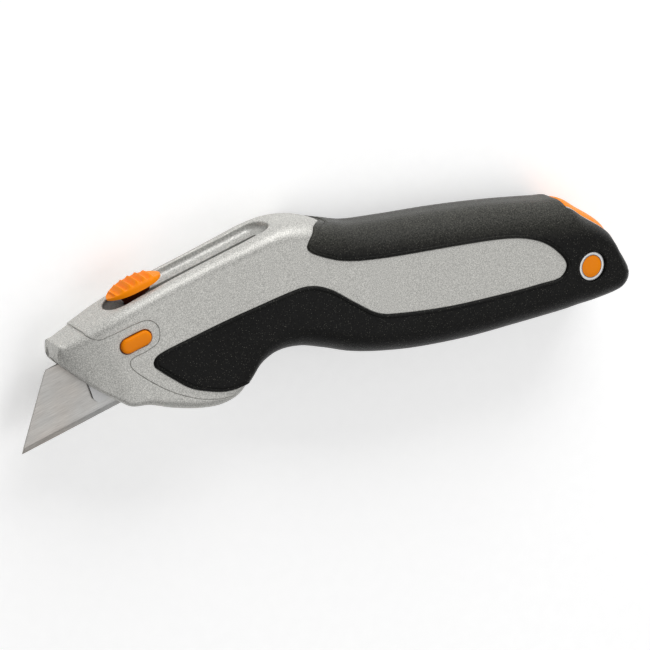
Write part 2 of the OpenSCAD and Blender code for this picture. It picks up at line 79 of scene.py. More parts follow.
# Stations from nose to tail: spine x, spine y, belly x, belly y, half thickness, and the radii
# of the spine edge and of the belly edge
STATIONS = np.array([
    [18.06, 23.82, 18.06, 23.8, 3.6, 0.01, 0.01],
    [18.4, 25.0, 17.3, 21.8, 4.2, 0.7, 0.7],
    [18.9, 25.6, 17.9, 19.6, 5.0, 2.0, 1.0],
    [20.5, 25.8, 20.4, 15.4, 6.0, 2.8, 1.0],
    [25.0, 26.2, 24.0, 9.8, WF - 1.8, 3.2, 1.2],
    [29.5, 26.7, 28.4, 4.2, WF - 0.9, 3.5, 1.4],
    [34.0, 27.2, 31.4, 0.9, WF - 0.3, 3.5, 1.6],
    [39.5, 27.7, 36.5, -1.4, WF, 3.5, 2.4],
    [46.0, 28.0, 42.5, -5.6, WF, 3.5, 3.0],
    [54.0, 28.2, 49.5, -9.4, WF, 3.5, 3.0],
    [61.0, 28.3, 56.0, -11.6, WF, 3.5, 3.0],
    [67.0, 28.3, 61.8, -11.4, WF + 0.1, 3.5, 3.2],
    [72.0, 28.3, 66.4, -8.9, WF + 0.4, 3.6, 4.5],
    [77.5, 28.3, 71.2, -6.2, WF + 0.8, 3.8, 6.0],
    [84.0, 28.4, 77.5, -5.3, WF + 1.1, 4.2, 6.5],
    [91.0, 27.8, 84.5, -7.3, WH - 1.0, 5.2, 7.0],
    [98.0, 25.6, 91.5, -11.4, WH - 0.6, 7.4, 7.0],
    [104.5, 21.1, 98.5, -16.1, WH - 0.3, 8.6, 7.0],
    [111.5, 16.7, 106.5, -20.1, WH - 0.1, 8.8, 7.0],
    [123.0, 12.7, 118.0, -24.7, WH, 9.0, 7.0],
    [140.0, 7.3, 134.0, -29.6, WH, 9.0, 7.0],
    [157.0, 1.2, 150.0, -33.3, WH, 9.0, 7.0],
    [171.5, -4.7, 165.2, -36.6, WH, 8.8, 7.0],
    [176.6, -7.0, 171.6, -37.7, WH, 8.6, 7.0],
    [180.4, -12.1, 176.6, -38.5, WH, 8.0, 6.5],
    [186.6, -20.0, 183.2, -39.2, WH, 7.6, 6.0],
    [188.2, -26.7, 186.4, -38.6, WH - 0.4, 6.4, 4.5],
    [189.1, -32.4, 188.4, -36.6, WH - 1.6, 2.0, 2.0],
    [189.3, -34.6, 189.3, -34.62, WH - 3.0, 0.01, 0.01],
])
END = len(STATIONS) - 1

# Edge of the silver tongue, from the lower pad's front point back round it and up to the spine
TONGUE = [
    [40.8, 9.9], [43.6, 11.7], [56, 11.6], [72, 11.2], [84.6, 10.6], [91, 9.4], [96.4, 5.7],
    [102.1, -1.2], [107.6, -7.3], [114, -10.6], [129.6, -16.2], [148.1, -21.2], [159.5, -23.8],
    [166, -25], [169.2, -22.6], [168.4, -18.6], [164.5, -12.9], [158.1, -8.1], [149.5, -4.3],
    [135.3, 0.4], [114, 7.2], [102.8, 11.8], [95.8, 16.9], [93.6, 19.8], [94.6, 21.6],
    [97, 22.9], [98.6, 23.9],
]
# Front edge of the lower pad, from the belly up to the pad's front point
PAD_FRONT = [
    [65.6, -9.3], [63.9, -8.75], [60, -8.3], [55.8, -6.7], [49.2, -2.3], [44.6, 3.3], [41, 8.6],
]
# Seam between the nose casting and the housings, from under the spine down to the guard
SEAM = [
    [27.1, 24.5], [29, 23.2], [31.5, 23], [40.8, 22.9], [44.4, 21.6], [45.7, 18.6],
    [44.3, 15.2], [40.5, 14.3], [36.4, 14.3], [34.7, 13.4], [35, 11], [38, 6.2], [42.5, 0.6],
    [47.5, -4.1], [52.5, -7.5], [57.5, -9.6], [60.6, -10.3],
]
SEAM_X = 26.4


def between(a, b, c, d, t):
    """Catmull-Rom point between b and c."""
    return 0.5 * (2 * b + (c - a) * t + (2 * a - 5 * b + 4 * c - d) * t * t
                  + (3 * b - a - 3 * c + d) * t * t * t)


def smooth(points, steps=6):
    """Smooth open curve through the points."""
    p = np.asarray(points, float)
    last = len(p) - 1
    curve = [between(p[max(i - 1, 0)], p[i], p[i + 1], p[min(i + 2, last)], k / steps)
             for i in range(last) for k in range(steps)]
    return np.array(curve + [p[last]])


def section(u):
    """The body's section at station number u, as one row of STATIONS' seven values for each u."""
    u = np.clip(np.atleast_1d(np.asarray(u, float)), 0, END)
    i = np.minimum(u.astype(int), END - 1)
    a, b, c, d = (STATIONS[np.clip(i + k, 0, END)] for k in (-1, 0, 1, 2))
    s = between(a, b, c, d, (u - i)[:, None])
    s[:, 4] = np.minimum(s[:, 4], WH)
    s[:, 5:] = np.maximum(s[:, 5:], 0.01)
    return s


def surface(u, v, grow=0.0):
    """Points on the body's left half. v runs from the middle of the spine, 0, over the spine's
    edge, 1 to 2, down the side, 2 to 3, round the belly's edge, 3 to 4, to the middle, 5."""
    s = section(u)
    v = np.atleast_1d(np.asarray(v, float))
    up = s[:, :2] - s[:, 2:4]
    height = np.linalg.norm(up, axis=1)
    up /= height[:, None]
    room = np.maximum(height + 2 * grow, 0.02)
    w = s[:, 4] + grow
    rt = np.minimum(np.maximum(s[:, 5] + grow, 0.01), room * 0.49)
    rb = np.minimum(np.maximum(s[:, 6] + grow, 0.01), room * 0.49)
    turn_t = np.clip(v - 1, 0, 1) * math.pi / 2
    turn_b = np.clip(4 - v, 0, 1) * math.pi / 2
    drop = np.where(
        v < 2, rt * (1 - np.cos(turn_t)),
        np.where(v < 3, rt + (v - 2) * (room - rt - rb), room - rb * (1 - np.cos(turn_b))))
    z = np.select(
        [v < 1, v < 2, v < 3, v < 4],
        [v * (w - rt), w - rt + rt * np.sin(turn_t), w, w - rb + rb * np.sin(turn_b)],
        (5 - v) * (w - rb))
    xy = s[:, :2] + up * (grow - drop)[:, None]
    return np.column_stack([xy, z])


_u_table = np.linspace(0, END, END * 20 + 1)
_sections = section(_u_table)
_middle = (_sections[:, :2] + _sections[:, 2:4]) / 2
_along = np.concatenate([[0], np.cumsum(np.linalg.norm(np.diff(_middle, axis=0), axis=1))])
# Lengths given to the five stretches of v, so that a step on the map is near a step on the body
_around = [0, 5, 12, 36, 43, 48]


def to_map(uv):
    """Surface coordinates (u, v) on a flat map whose steps are near millimetres."""
    uv = np.asarray(uv, float)
    return np.column_stack([np.interp(uv[:, 0], _u_table, _along),
                            np.interp(uv[:, 1], range(6), _around)])


def from_map(flat):
    """Surface coordinates (u, v) of points of the flat map."""
    flat = np.asarray(flat, float)
    return np.column_stack([np.interp(flat[:, 0], _along, _u_table),
                            np.interp(flat[:, 1], _around, range(6))])


def on_body(flat, grow=0.0):
    """Drawing points of the flat map's points."""
    uv = from_map(flat)
    return surface(uv[:, 0], uv[:, 1], grow)


def seen_at(points):
    """Surface coordinates of points given by x and y in side view."""
    p = np.asarray(points, float)
    low = np.zeros(len(p))
    high = np.full(len(p), float(END))
    for _ in range(40):
        mid = (low + high) / 2
        s = section(mid)
        down, to_p = s[:, 2:4] - s[:, :2], p - s[:, :2]
        behind = down[:, 0] * to_p[:, 1] - down[:, 1] * to_p[:, 0] > 0
        low, high = np.where(behind, mid, low), np.where(behind, high, mid)
    s = section((low + high) / 2)
    up = s[:, :2] - s[:, 2:4]
    height = np.linalg.norm(up, axis=1)
    drop = np.clip(np.sum((s[:, :2] - p) * up, axis=1) / height, 0, height)
    rt, rb = s[:, 5], s[:, 6]
    over = 1 + np.arccos(np.clip(1 - drop / rt, -1, 1)) / (math.pi / 2)
    under = 4 - np.arccos(np.clip(1 - (height - drop) / rb, -1, 1)) / (math.pi / 2)
    side = 2 + (drop - rt) / (height - rt - rb)
    v = np.where(drop < rt, over, np.where(drop > height - rb, under, side))
    return np.column_stack([low, v])


def across(s, z, radius):
    """How far from the middle, 0, past the edge's start, 1, height z lies on a section."""
    flat = s[:, 4] - radius
    turn = np.arcsin(np.clip((z - flat) / radius, 0, 1)) / (math.pi / 2)
    return np.where(z < flat, z / flat, 1 + turn)


def spine_side(u, z):
    """Surface coordinates of points over the spine, given by station number and height z."""
    s = section(u)
    return np.column_stack([u, across(s, np.asarray(z, float), s[:, 5])])


def on_spine(x, z):
    """Surface coordinates of points over the spine, given by x and height z."""
    return spine_side(np.interp(x, _sections[:, 0], _u_table), z)


def on_belly(x, z):
    """Surface coordinates of points on the belly, given by x and height z."""
    u = np.interp(x, _sections[:, 2], _u_table)
    s = section(u)
    return np.column_stack([u, 5 - across(s, np.asarray(z, float), s[:, 6])])


# ---------------- shells

class Edge:
    """A stretch of a shell's border: its line on the flat map, and how the shell ends there.
    rings are the distances from the border at which the mesh has extra points."""

    def __init__(self, uv, rim, step=0.6, rings=()):
        self.rim = rim
        self.rings = rings
        line = to_map(uv)
        parts = [line[:1]]
        for a, b in zip(line, line[1:]):
            n = max(1, int(np.linalg.norm(b - a) / 0.25))
            parts.append(a + (b - a) * (np.arange(1, n + 1) / n)[:, None])
        dense = np.concatenate(parts)
        run = np.linalg.norm(np.diff(on_body(dense), axis=0), axis=1)
        length = np.concatenate([[0], np.cumsum(run)])
        t = np.linspace(0, length[-1], max(2, int(round(length[-1] / step)) + 1))
        self.line = np.column_stack([np.interp(t, length, dense[:, k]) for k in (0, 1)])


def inside(points, loop):
    """Which points lie inside a closed loop of the flat map."""
    x, y = points[:, 0], points[:, 1]
    result = np.zeros(len(points), bool)
    for a, b in zip(loop, np.roll(loop, -1, axis=0)):
        crosses = (a[1] > y) != (b[1] > y)
        at = a[0] + (y - a[1]) * (b[0] - a[0]) / (b[1] - a[1] if b[1] != a[1] else 1e-9)
        result ^= crosses & (x < at)
    return result


def area(loop):
    """Signed area of a closed loop."""
    nxt = np.roll(loop, -1, axis=0)
    return 0.5 * np.sum(loop[:, 0] * nxt[:, 1] - loop[:, 1] * nxt[:, 0])


def normals_at(flat):
    """Outward normals of the body's left half at points of the flat map."""
    e = 0.02
    ways = ([0, e], [0, -e], [e, 0], [-e, 0])
    near = [on_body(np.clip(flat + way, 0, [_along[-1], _around[-1]])) for way in ways]
    n = np.cross(near[0] - near[1], near[2] - near[3])
    size = np.linalg.norm(n, axis=1)
    n[size < 1e-9] = [0, 0, 1]
    size[size < 1e-9] = 1
    return n / size[:, None]


def distance_to(points, lines):
    """Distance of each drawing point to the nearest of some polylines."""
    starts = np.concatenate([line[:-1] for line in lines])
    ends = np.concatenate([line[1:] for line in lines])
    best = np.full(len(points), 1e9)
    for a, b in zip(starts, ends):
        ab = b - a
        t = np.clip((points - a) @ ab / max(ab @ ab, 1e-12), 0, 1)
        d = np.linalg.norm(points - a - t[:, None] * ab, axis=1)
        np.minimum(best, d, out=best)
    return best


def triangulated(points, links, kind):
    """Points and triangles of a flat triangulation that keeps the links; kind is Blender's own."""
    out = delaunay_2d_cdt([Vector(p) for p in points], links, [], kind, 1e-6)
    return np.array([[p[0], p[1]] for p in out[0]]), np.array(out[2])


def within(points, loops):
    """Which points lie inside the first loop and outside the others."""
    keep = inside(points, loops[0])
    for hole in loops[1:]:
        keep &= ~inside(points, hole)
    return keep


def gaps_to(points):
    """A function that gives a flat point's distance to the nearest of the points."""
    tree = KDTree(len(points))
    for i, p in enumerate(points):
        tree.insert((p[0], p[1], 0), i)
    tree.balance()
    return lambda p: tree.find((p[0], p[1], 0))[2]


def map_mesh(edges, holes, grid):
    """Triangles on the flat map inside a loop of edges and outside the hole edges."""
    loops = [np.concatenate([e.line[:-1] for e in edges])] + [h.line[:-1] for h in holes]
    owners = [[e for e in edges for _ in e.line[:-1]]] + [[h] * (len(h.line) - 1) for h in holes]
    borders = np.concatenate(loops)
    gap = gaps_to(borders)
    extra = []
    for n, (loop, owner) in enumerate(zip(loops, owners)):
        turn = 1 if (area(loop) > 0) == (n == 0) else -1
        tangent = np.roll(loop, -1, axis=0) - np.roll(loop, 1, axis=0)
        inward = np.column_stack([-tangent[:, 1], tangent[:, 0]]) * turn
        inward /= np.linalg.norm(inward, axis=1)[:, None] + 1e-12
        step = np.linalg.norm(on_body(loop + inward * 0.05) - on_body(loop), axis=1) / 0.05
        step = np.clip(step, 0.25, 4)
        for p, way, scale, edge in zip(loop, inward, step, owner):
            for d in edge.rings:
                q = p + way * d / scale
                if gap(q) > 0.8 * d / scale:
                    extra.append(q)
    low, high = borders.min(0), borders.max(0)
    xs = np.arange(low[0] + grid / 2, high[0], grid)
    ys = np.arange(low[1] + grid / 2, high[1], grid * 0.87)
    mesh_grid = np.array([[x + (grid / 2 if k % 2 else 0), y] for k, y in enumerate(ys) for x in xs])
    extra = np.array(extra).reshape(-1, 2)
    free = mesh_grid[[gap(p) > 0.8 * grid for p in mesh_grid]]
    gap = gaps_to(extra)
    free = free[[gap(p) > 0.5 * grid for p in free]]
    inner = np.concatenate([extra, free])
    verts = np.concatenate([borders, inner[within(inner, loops)]])
    links, first = [], 0
    for loop in loops:
        n = len(loop)
        links += [(first + i, first + (i + 1) % n) for i in range(n)]
        first += n
    flat, tris = triangulated(verts, links, 0)
    return flat, tris[within(flat[tris].mean(1), loops)]


# The tail lid's pivot, and the room that the lid's rolling wall turns in: its inner and outer
# radius, half its width, and the least that stays between it and the outer skin
PIVOT_X = 177.0
PIVOT_Y = -26.6
LID_HUB = 8.0
LID_ROOM = 11.5
LID_ROOM_Z = 7.3
LEAST_SKIN = 0.12
# Where the inner skin ends, behind the nose's front and before the tail's end
INNER_FRONT = 19.3
INNER_REAR = 188.1


def clear_inside(inner, outer):
    """Inner skin kept behind the nose's front and the tail's end, and out of the lid's room."""
    inner[:, 0] = np.clip(inner[:, 0], INNER_FRONT, INNER_REAR)
    pivot = np.array([PIVOT_X, PIVOT_Y])
    arm = inner[:, :2] - pivot
    r = np.linalg.norm(arm, axis=1)
    room = np.minimum(LID_ROOM, np.linalg.norm(outer[:, :2] - pivot, axis=1) - LEAST_SKIN)
    near = (r < room) & (r > LID_HUB) & (inner[:, 2] < LID_ROOM_Z)
    inner[near, :2] = pivot + arm[near] * (room / r)[near, None]
    return inner


def two_skins(tris, count):
    """Faces of a closed form from its outer skin's triangles. Its inner skin's points come after
    the outer skin's count points, in the same order."""
    faces = [tuple(int(i) for i in t) for t in tris]
    sides = dict.fromkeys((t[i], t[(i + 1) % 3]) for t in faces for i in range(3))
    rims = [(q, p, p + count, q + count) for p, q in sides if (q, p) not in sides]
    return faces + [tuple(i + count for i in t[::-1]) for t in faces] + rims


def shell(name, edges, holes, heights, thickness, side, grid=1.1):
    """A closed shell over part of one half of the body: its outer skin, its inner skin and its
    rims. heights(points, uv, distances) gives the skin's height above the body's form, where
    distances holds the distance to each rim by the rim's name."""
    flat, tris = map_mesh(edges, holes, grid)
    base = on_body(flat)
    lines = {}
    for edge in list(edges) + list(holes):
        lines.setdefault(edge.rim, []).append(on_body(edge.line))
    distances = {rim: distance_to(base, group) for rim, group in lines.items()}
    outer = base + normals_at(flat) * heights(base, from_map(flat), distances)[:, None]
    inner = clear_inside(on_body(flat, -thickness), outer)
    a, b, c = (flat[tris[:, k]] for k in (0, 1, 2))
    flip = ((b - a)[:, 0] * (c - a)[:, 1] - (b - a)[:, 1] * (c - a)[:, 0]) > 0
    tris[flip] = tris[flip][:, ::-1]
    return half_piece(name, np.concatenate([outer, inner]), two_skins(tris, len(flat)), side)


# ---------------- making pieces

def added(name, data):
    """A new object in the scene."""
    obj = bpy.data.objects.new(name, data)
    bpy.context.scene.collection.objects.link(obj)
    return obj


def piece(name, points, faces, sharp=38):
    """A mesh object from drawing points, shaded smooth except at edges sharper than sharp."""
    mesh = bpy.data.meshes.new(name)
    mesh.from_pydata([tuple(p) for p in world(points)], [], [tuple(f) for f in faces])
    mesh.validate()
    mesh.shade_smooth()
    mesh.set_sharp_from_angle(angle=math.radians(sharp))
    return added(name, mesh)


def half_piece(name, points, faces, side, sharp=38):
    """A piece drawn for the left side, mirrored to the right one where side is -1."""
    if side < 0:
        points = points * [1, 1, -1]
        faces = [f[::-1] for f in faces]
    return piece(name, points, faces, sharp)


def joined(name, parts):
    """One object made of several."""
    for o in bpy.context.selected_objects:
        o.select_set(False)
    for part in parts:
        part.select_set(True)
    bpy.context.view_layer.objects.active = parts[0]
    bpy.ops.object.join()
    parts[0].name = name
    parts[0].data.name = name
    return parts[0]


def quads(links, n, steps):
    """Quads between pairs of rows of n points, over the first steps of each row."""
    return [(a * n + i, a * n + (i + 1) % n, b * n + (i + 1) % n, b * n + i)
            for a, b in links for i in range(steps)]


def lofted(name, rings, caps=True, sharp=38):
    """A skin through closed rings of the same number of points."""
    n, last = len(rings[0]), len(rings) - 1
    faces = quads([(k, k + 1) for k in range(last)], n, n)
    if caps:
        faces += [tuple(range(n))[::-1], tuple(last * n + i for i in range(n))]
    return piece(name, np.concatenate(rings), faces, sharp)


def circle(x, y, r, angles):
    """Points round a circle, at the angles."""
    return np.column_stack([x + r * np.cos(angles), y + r * np.sin(angles)])


def at_height(points, z):
    """Flat points lifted to one height."""
    return np.column_stack([points, np.full(len(points), z)])


def stadium(half_length, radius, steps, x, y=0.0):
    """Points round a stadium, counter-clockwise in its own plane."""
    straight = half_length - radius
    angles = [math.pi * (k / steps - 0.5) for k in range(steps + 1)]
    right = [(x + straight + radius * math.cos(a), y + radius * math.sin(a)) for a in angles]
    left = [(x - straight - radius * math.cos(a), y - radius * math.sin(a)) for a in angles]
    return np.array(right + left)


def finish_piece(obj, body, material, slot, *nodes):
    """Puts a piece on its body, hides the CAD nodes that it stands for and, unless its parts have their own,
    gives it its material.
    """
    if material:
        obj.data.materials.clear()
        obj.data.materials.append(material)
    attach(obj, body)
    if nodes:
        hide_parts(*nodes)


# ---------------- materials

class Nodes:
    """A short way to write a node material."""

    def __init__(self, name):
        self.material = bpy.data.materials.new(name)
        self.material.use_nodes = True
        self.tree = self.material.node_tree
        self.shader = self.tree.nodes["Principled BSDF"]
        self.place = self.add("ShaderNodeTexCoord").outputs["Object"]

    def add(self, kind, **values):
        node = self.tree.nodes.new(kind)
        for key, value in values.items():
            setattr(node, key, value)
        return node

    def link(self, a, b):
        self.tree.links.new(a, b)

    def noise(self, scale, detail=2.0, roughness=0.5, stretch=None):
        """Noise of the given scale, in cells a metre, optionally stretched along an axis."""
        node = self.add("ShaderNodeTexNoise")
        node.inputs["Scale"].default_value = scale
        node.inputs["Detail"].default_value = detail
        node.inputs["Roughness"].default_value = roughness
        source = self.place
        if stretch:
            mapping = self.add("ShaderNodeMapping")
            mapping.inputs["Scale"].default_value = stretch
            self.link(self.place, mapping.inputs["Vector"])
            source = mapping.outputs["Vector"]
        self.link(source, node.inputs["Vector"])
        return node.outputs["Fac"]

    def cells(self, scale):
        """Distance to the nearest of scattered points, at the given number a metre."""
        node = self.add("ShaderNodeTexVoronoi")
        node.inputs["Scale"].default_value = scale
        self.link(self.place, node.inputs["Vector"])
        return node.outputs["Distance"]

    def ramp(self, source, *stops):
        """Colour ramp through (position, colour or grey) stops."""
        node = self.add("ShaderNodeValToRGB")
        ends = node.color_ramp.elements
        while len(ends) < len(stops):
            ends.new(0.5)
        for element, (position, colour) in zip(ends, stops):
            element.position = position
            element.color = (*(colour if isinstance(colour, tuple) else (colour,) * 3), 1)
        self.link(source, node.inputs["Fac"])
        return node.outputs["Color"]

    def range(self, source, low, high, out_low, out_high):
        node = self.add("ShaderNodeMapRange")
        for key, value in zip(("From Min", "From Max", "To Min", "To Max"),
                              (low, high, out_low, out_high)):
            node.inputs[key].default_value = value
        self.link(source, node.inputs["Value"])
        return node.outputs["Result"]

    def mix(self, factor, a, b, how="MIX"):
        node = self.add("ShaderNodeMix", data_type="RGBA", blend_type=how)
        for value, key in ((factor, 0), (a, 6), (b, 7)):
            if isinstance(value, (int, float)):
                node.inputs[key].default_value = value
            elif isinstance(value, tuple):
                node.inputs[key].default_value = (*value, 1)
            else:
                self.link(value, node.inputs[key])
        return node.outputs[2]

    def bump(self, *layers):
        """Bump from (height, distance in metres) layers, one over the other."""
        last = None
        for source, distance in layers:
            node = self.add("ShaderNodeBump")
            node.inputs["Distance"].default_value = distance
            self.link(source, node.inputs["Height"])
            if last:
                self.link(last, node.inputs["Normal"])
            last = node.outputs["Normal"]
        self.link(last, self.shader.inputs["Normal"])

    def colour(self, source):
        self.link(source, self.shader.inputs["Base Color"])

    def rough(self, source, low, high):
        """Roughness that follows a noise."""
        self.link(self.range(source, 0.3, 0.7, low, high), self.shader.inputs["Roughness"])

    def set(self, **values):
        for key, value in values.items():
            self.shader.inputs[key.replace("_", " ")].default_value = value


def silver_paint():
    """Satin metallic paint with a fine speckle."""
    m = Nodes("silver_paint")
    speckle = m.noise(3400, 2.0, 0.7)
    flecks = m.cells(3400)
    base = m.ramp(speckle, (0.34, (0.33, 0.327, 0.307)), (0.5, (0.51, 0.505, 0.478)),
                  (0.66, (0.74, 0.73, 0.69)))
    lit = m.ramp(flecks, (0.0, 1.0), (0.24, 0.0))
    colour = m.mix(0.22, base, lit, "ADD")
    m.colour(colour)
    m.rough(speckle, 0.40, 0.54)
    m.bump((speckle, 0.00005))
    m.set(Metallic=0.5, Specular_IOR_Level=0.5)
    return m.material


def trough_paint():
    """The same paint inside the thumb hollow, smoother, with painted shade darkening it at the hollow's two
    ends.
    """
    m = Nodes("hollow_paint")
    speckle = m.noise(2200, 2.0, 0.7)
    cloud = m.noise(160, 2.0)
    base = m.ramp(speckle, (0.34, (0.36, 0.36, 0.345)), (0.66, (0.68, 0.675, 0.64)))
    cloudy_tone = m.ramp(cloud, (0.3, 0.88), (0.7, 1.0))
    place = m.add("ShaderNodeSeparateXYZ")
    m.link(m.place, place.inputs[0])
    # Painted shade: the paint is darker at the hollow's front end, under the thumb cap, and at its rear end,
    # where shade falls.
    front, rear = (float(world((x, 0, 0))[0]) for x in (41.5, 86.5))
    start = m.range(place.outputs["X"], front, front + 0.0025, 0.28, 1.0)
    end = m.range(place.outputs["X"], rear, rear + 0.002, 1.0, 0.62)
    unshaded_paint = m.mix(1.0, base, cloudy_tone, "MULTIPLY")
    painted_end_shade = m.mix(1.0, start, end, "MULTIPLY")
    m.colour(m.mix(1.0, unshaded_paint, painted_end_shade, "MULTIPLY"))
    m.rough(cloud, 0.42, 0.50)
    m.bump((speckle, 0.00004))
    m.set(Metallic=0.5)
    return m.material


def grip_rubber():
    """Black moulded rubber with a fine sparkling grain, painted lighter towards the handle's spine as painted
    sheen where the light from above falls.
    """
    m = Nodes("grip_rubber")
    grain = m.noise(2400, 2.0, 0.65)
    patches = m.noise(60, 2.0)
    dots = m.cells(1900)
    base = m.ramp(grain, (0.35, 0.001), (0.7, (0.008, 0.008, 0.007)))
    # Painted sheen: the rubber's colour is lighter towards the spine, which faces the light from above.
    slope = (0.39, 1.0, 0.0)
    height = m.add("ShaderNodeVectorMath", operation="DOT_PRODUCT")
    height.inputs[1].default_value = slope
    m.link(m.place, height.inputs[0])
    low, high = (float(np.dot(world((104, y, 0)), slope)) for y in (11.5, 21.5))
    painted_spine_light = m.range(height.outputs["Value"], low, high, 0.0, 1.0)
    spine_sheen_colour = m.ramp(grain, (0.38, (0.022, 0.022, 0.019)), (0.66, (0.085, 0.084, 0.072)))
    base = m.mix(painted_spine_light, base, spine_sheen_colour)
    sparkle = m.ramp(dots, (0.0, (0.34, 0.33, 0.28)), (0.17, 0.0))
    m.colour(m.mix(1.0, base, sparkle, "ADD"))
    m.rough(patches, 0.46, 0.54)
    m.bump((grain, 0.00012), (dots, 0.00004))
    m.set(Specular_IOR_Level=0.14, Sheen_Weight=0.3, Sheen_Roughness=0.3)
    return m.material


def orange_plastic():
    """Semi-gloss moulded orange plastic."""
    m = Nodes("orange_plastic")
    grain = m.noise(1500, 3.0)
    flow = m.noise(90, 2.0)
    colour = m.ramp(flow, (0.3, (0.94, 0.245, 0.0)), (0.7, (1.0, 0.28, 0.0)))
    m.colour(colour)
    m.rough(grain, 0.34, 0.46)
    m.bump((grain, 0.00004))
    m.set(Specular_IOR_Level=0.12)
    return m.material


def stem_painted_shade():
    """Orange plastic of the thumb cap's stem, painted dark red-brown as painted shade under the cap."""
    m = Nodes("stem_painted_shade")
    grain = m.noise(1500, 2.0)
    m.colour(m.ramp(grain, (0.3, (0.05, 0.008, 0.002)), (0.7, (0.10, 0.015, 0.003))))
    m.set(Roughness=0.5, Specular_IOR_Level=0.1)
    return m.material


def blade_steel():
    """Brushed blade steel; the grinding marks run along the blade."""
    m = Nodes("blade_steel")
    brush = m.noise(1.0, 3.0, 0.6, (260, 5200, 900))
    wide = m.noise(1.0, 2.0, 0.5, (60, 900, 200))
    warm = m.noise(55, 2.0)
    steel = m.ramp(brush, (0.3, (0.31, 0.30, 0.285)), (0.7, (0.50, 0.49, 0.465)))
    tint = m.ramp(warm, (0.35, (1.0, 0.93, 0.88)), (0.65, (0.95, 0.97, 1.0)))
    broad = m.ramp(wide, (0.3, 0.85), (0.7, 1.0))
    both = m.mix(1.0, steel, tint, "MULTIPLY")
    m.colour(m.mix(1.0, both, broad, "MULTIPLY"))
    m.rough(brush, 0.28, 0.42)
    m.bump((brush, 0.00002))
    m.set(Metallic=0.85)
    return m.material


def plain_steel(name, dark, light, roughness):
    """Sheet or turned steel with faint marks."""
    m = Nodes(name)
    marks = m.noise(700, 3.0, 0.6)
    m.colour(m.ramp(marks, (0.3, dark), (0.7, light)))
    m.rough(marks, roughness - 0.06, roughness + 0.06)
    m.bump((marks, 0.00002))
    m.set(Metallic=0.9)
    return m.material


def carrier_plastic():
    """Dark satin plastic of the parts inside."""
    m = Nodes("carrier_plastic")
    grain = m.noise(1800, 2.0)
    m.colour(m.ramp(grain, (0.3, 0.03), (0.7, 0.06)))
    m.rough(grain, 0.40, 0.52)
    m.bump((grain, 0.00003))
    return m.material


SILVER = silver_paint()
HOLLOW = trough_paint()
RUBBER = grip_rubber()
ORANGE = orange_plastic()
# The stem's orange plastic, painted dark as painted shade under the thumb cap
SHADED_STEM = stem_painted_shade()
BLADE = blade_steel()
SPRING = plain_steel("spring_steel", 0.34, 0.46, 0.40)
SCREW = plain_steel("screw_steel", 0.10, 0.18, 0.40)
RING = plain_steel("ring_metal", 0.46, 0.60, 0.34)
INNER = carrier_plastic()


# ---------------- rims

def rounded(d, radius):
    """Drop of a rounded rim at distance d from its edge."""
    t = np.clip(1 - d / radius, 0, 1)
    return radius * (1 - np.sqrt(np.clip(1 - t * t, 0, 1)))


def ease(x, low, high):
    """Smooth step from 0 at low to 1 at high."""
    t = np.clip((x - low) / (high - low), 0, 1)
    return t * t * (3 - 2 * t)


# Distances from a rim at which a shell's mesh has extra points
FINE = (0.07, 0.16, 0.3)
PARTING = (0.06, 0.14, 0.25)
GRIP_RINGS = (0.07, 0.16, 0.3, 0.5, 0.75, 0.88, 1.0, 1.12, 1.24, 1.6)
SPINE_RINGS = (0.07, 0.16, 0.3, 0.5, 0.8, 1.2, 1.6, 1.9, 2.1, 2.25, 2.4, 2.6, 3.0)
# How far the grip stands above the castings, and the nose's top lies below the housings
PROUD = 0.65
STEP_DOWN = 0.5
# Front edge of the grip on the spine, from the side to the middle, as x and z
GRIP_SPINE = [[99.3, 7], [100.3, 5.7], [101.4, 4.2], [102.4, 2.7], [103.1, 1.2], [103.3, 0]]

# Lines that several shells share
tongue_line = seen_at(smooth(TONGUE, 8))
pad_line = seen_at(smooth(PAD_FRONT, 8))
seam_line = seen_at(smooth(SEAM, 8))
grip_spine = on_spine(*smooth(GRIP_SPINE, 5).T)
# Station numbers where the pad's line and the seam end at the belly, and the grip's line on the spine
U_PAD = float(pad_line[0, 0])
U_GRIP = float(grip_spine[-1, 0])
U_SEAM = float(seam_line[-1, 0])
pad_foot = np.array([[U_PAD, 5.0], [U_PAD, 4.3]])
grip_all = np.concatenate([pad_foot, pad_line, tongue_line, grip_spine])
seam_top = on_spine([SEAM_X] * 6, [0, 1.5, 3, 4.2, 5.2, 6.2])
seam_all = np.concatenate([seam_top, seam_line, [[U_SEAM, 4.4], [U_SEAM, 5.0]]])

# Thumb hollow: stadium round the straight from HOLLOW_A to HOLLOW_B. The slot in its floor is
# another, from SLOT_A to SLOT_B.
HOLLOW_A = 40.8
HOLLOW_B = 83.6
HOLLOW_R = 5.0
HOLLOW_FLOOR = 25.8
SLOT_A = 42.8
SLOT_B = 83.6
SLOT_R = 1.9


def half_stadium(a, b, r):
    """Left half of a stadium seen from above, as x and z from its front end to its rear end."""
    turn = np.linspace(0, math.pi / 2, 15)
    front = [(a - r * math.cos(t), r * math.sin(t)) for t in turn[:-1]]
    straight = [(x, r) for x in np.linspace(a, b, 44, endpoint=False)]
    back = [(b + r * math.sin(t), r * math.cos(t)) for t in turn]
    return np.array(front + straight + back)


hollow_rim = half_stadium(HOLLOW_A, HOLLOW_B, HOLLOW_R)
hollow_line = on_spine(hollow_rim[:, 0], hollow_rim[:, 1])

# Lid opening at the tail: where it starts on the spine, half its width, and the outside of the
# metal frame round it, whose wall runs in by TAIL_WALL towards TAIL_CENTRE
LID_X = 176.3
LID_Z = 6.8
LID_FRAME_Z = 7.3
TAIL_CENTRE = np.array([170, -25])
TAIL_WALL = 6

# Screws, which are put in from the right side, and the radius of their recesses
SCREWS = [(57, -3.8), (102.6, 4), (158, -29.5)]
SCREW_R = 2.5


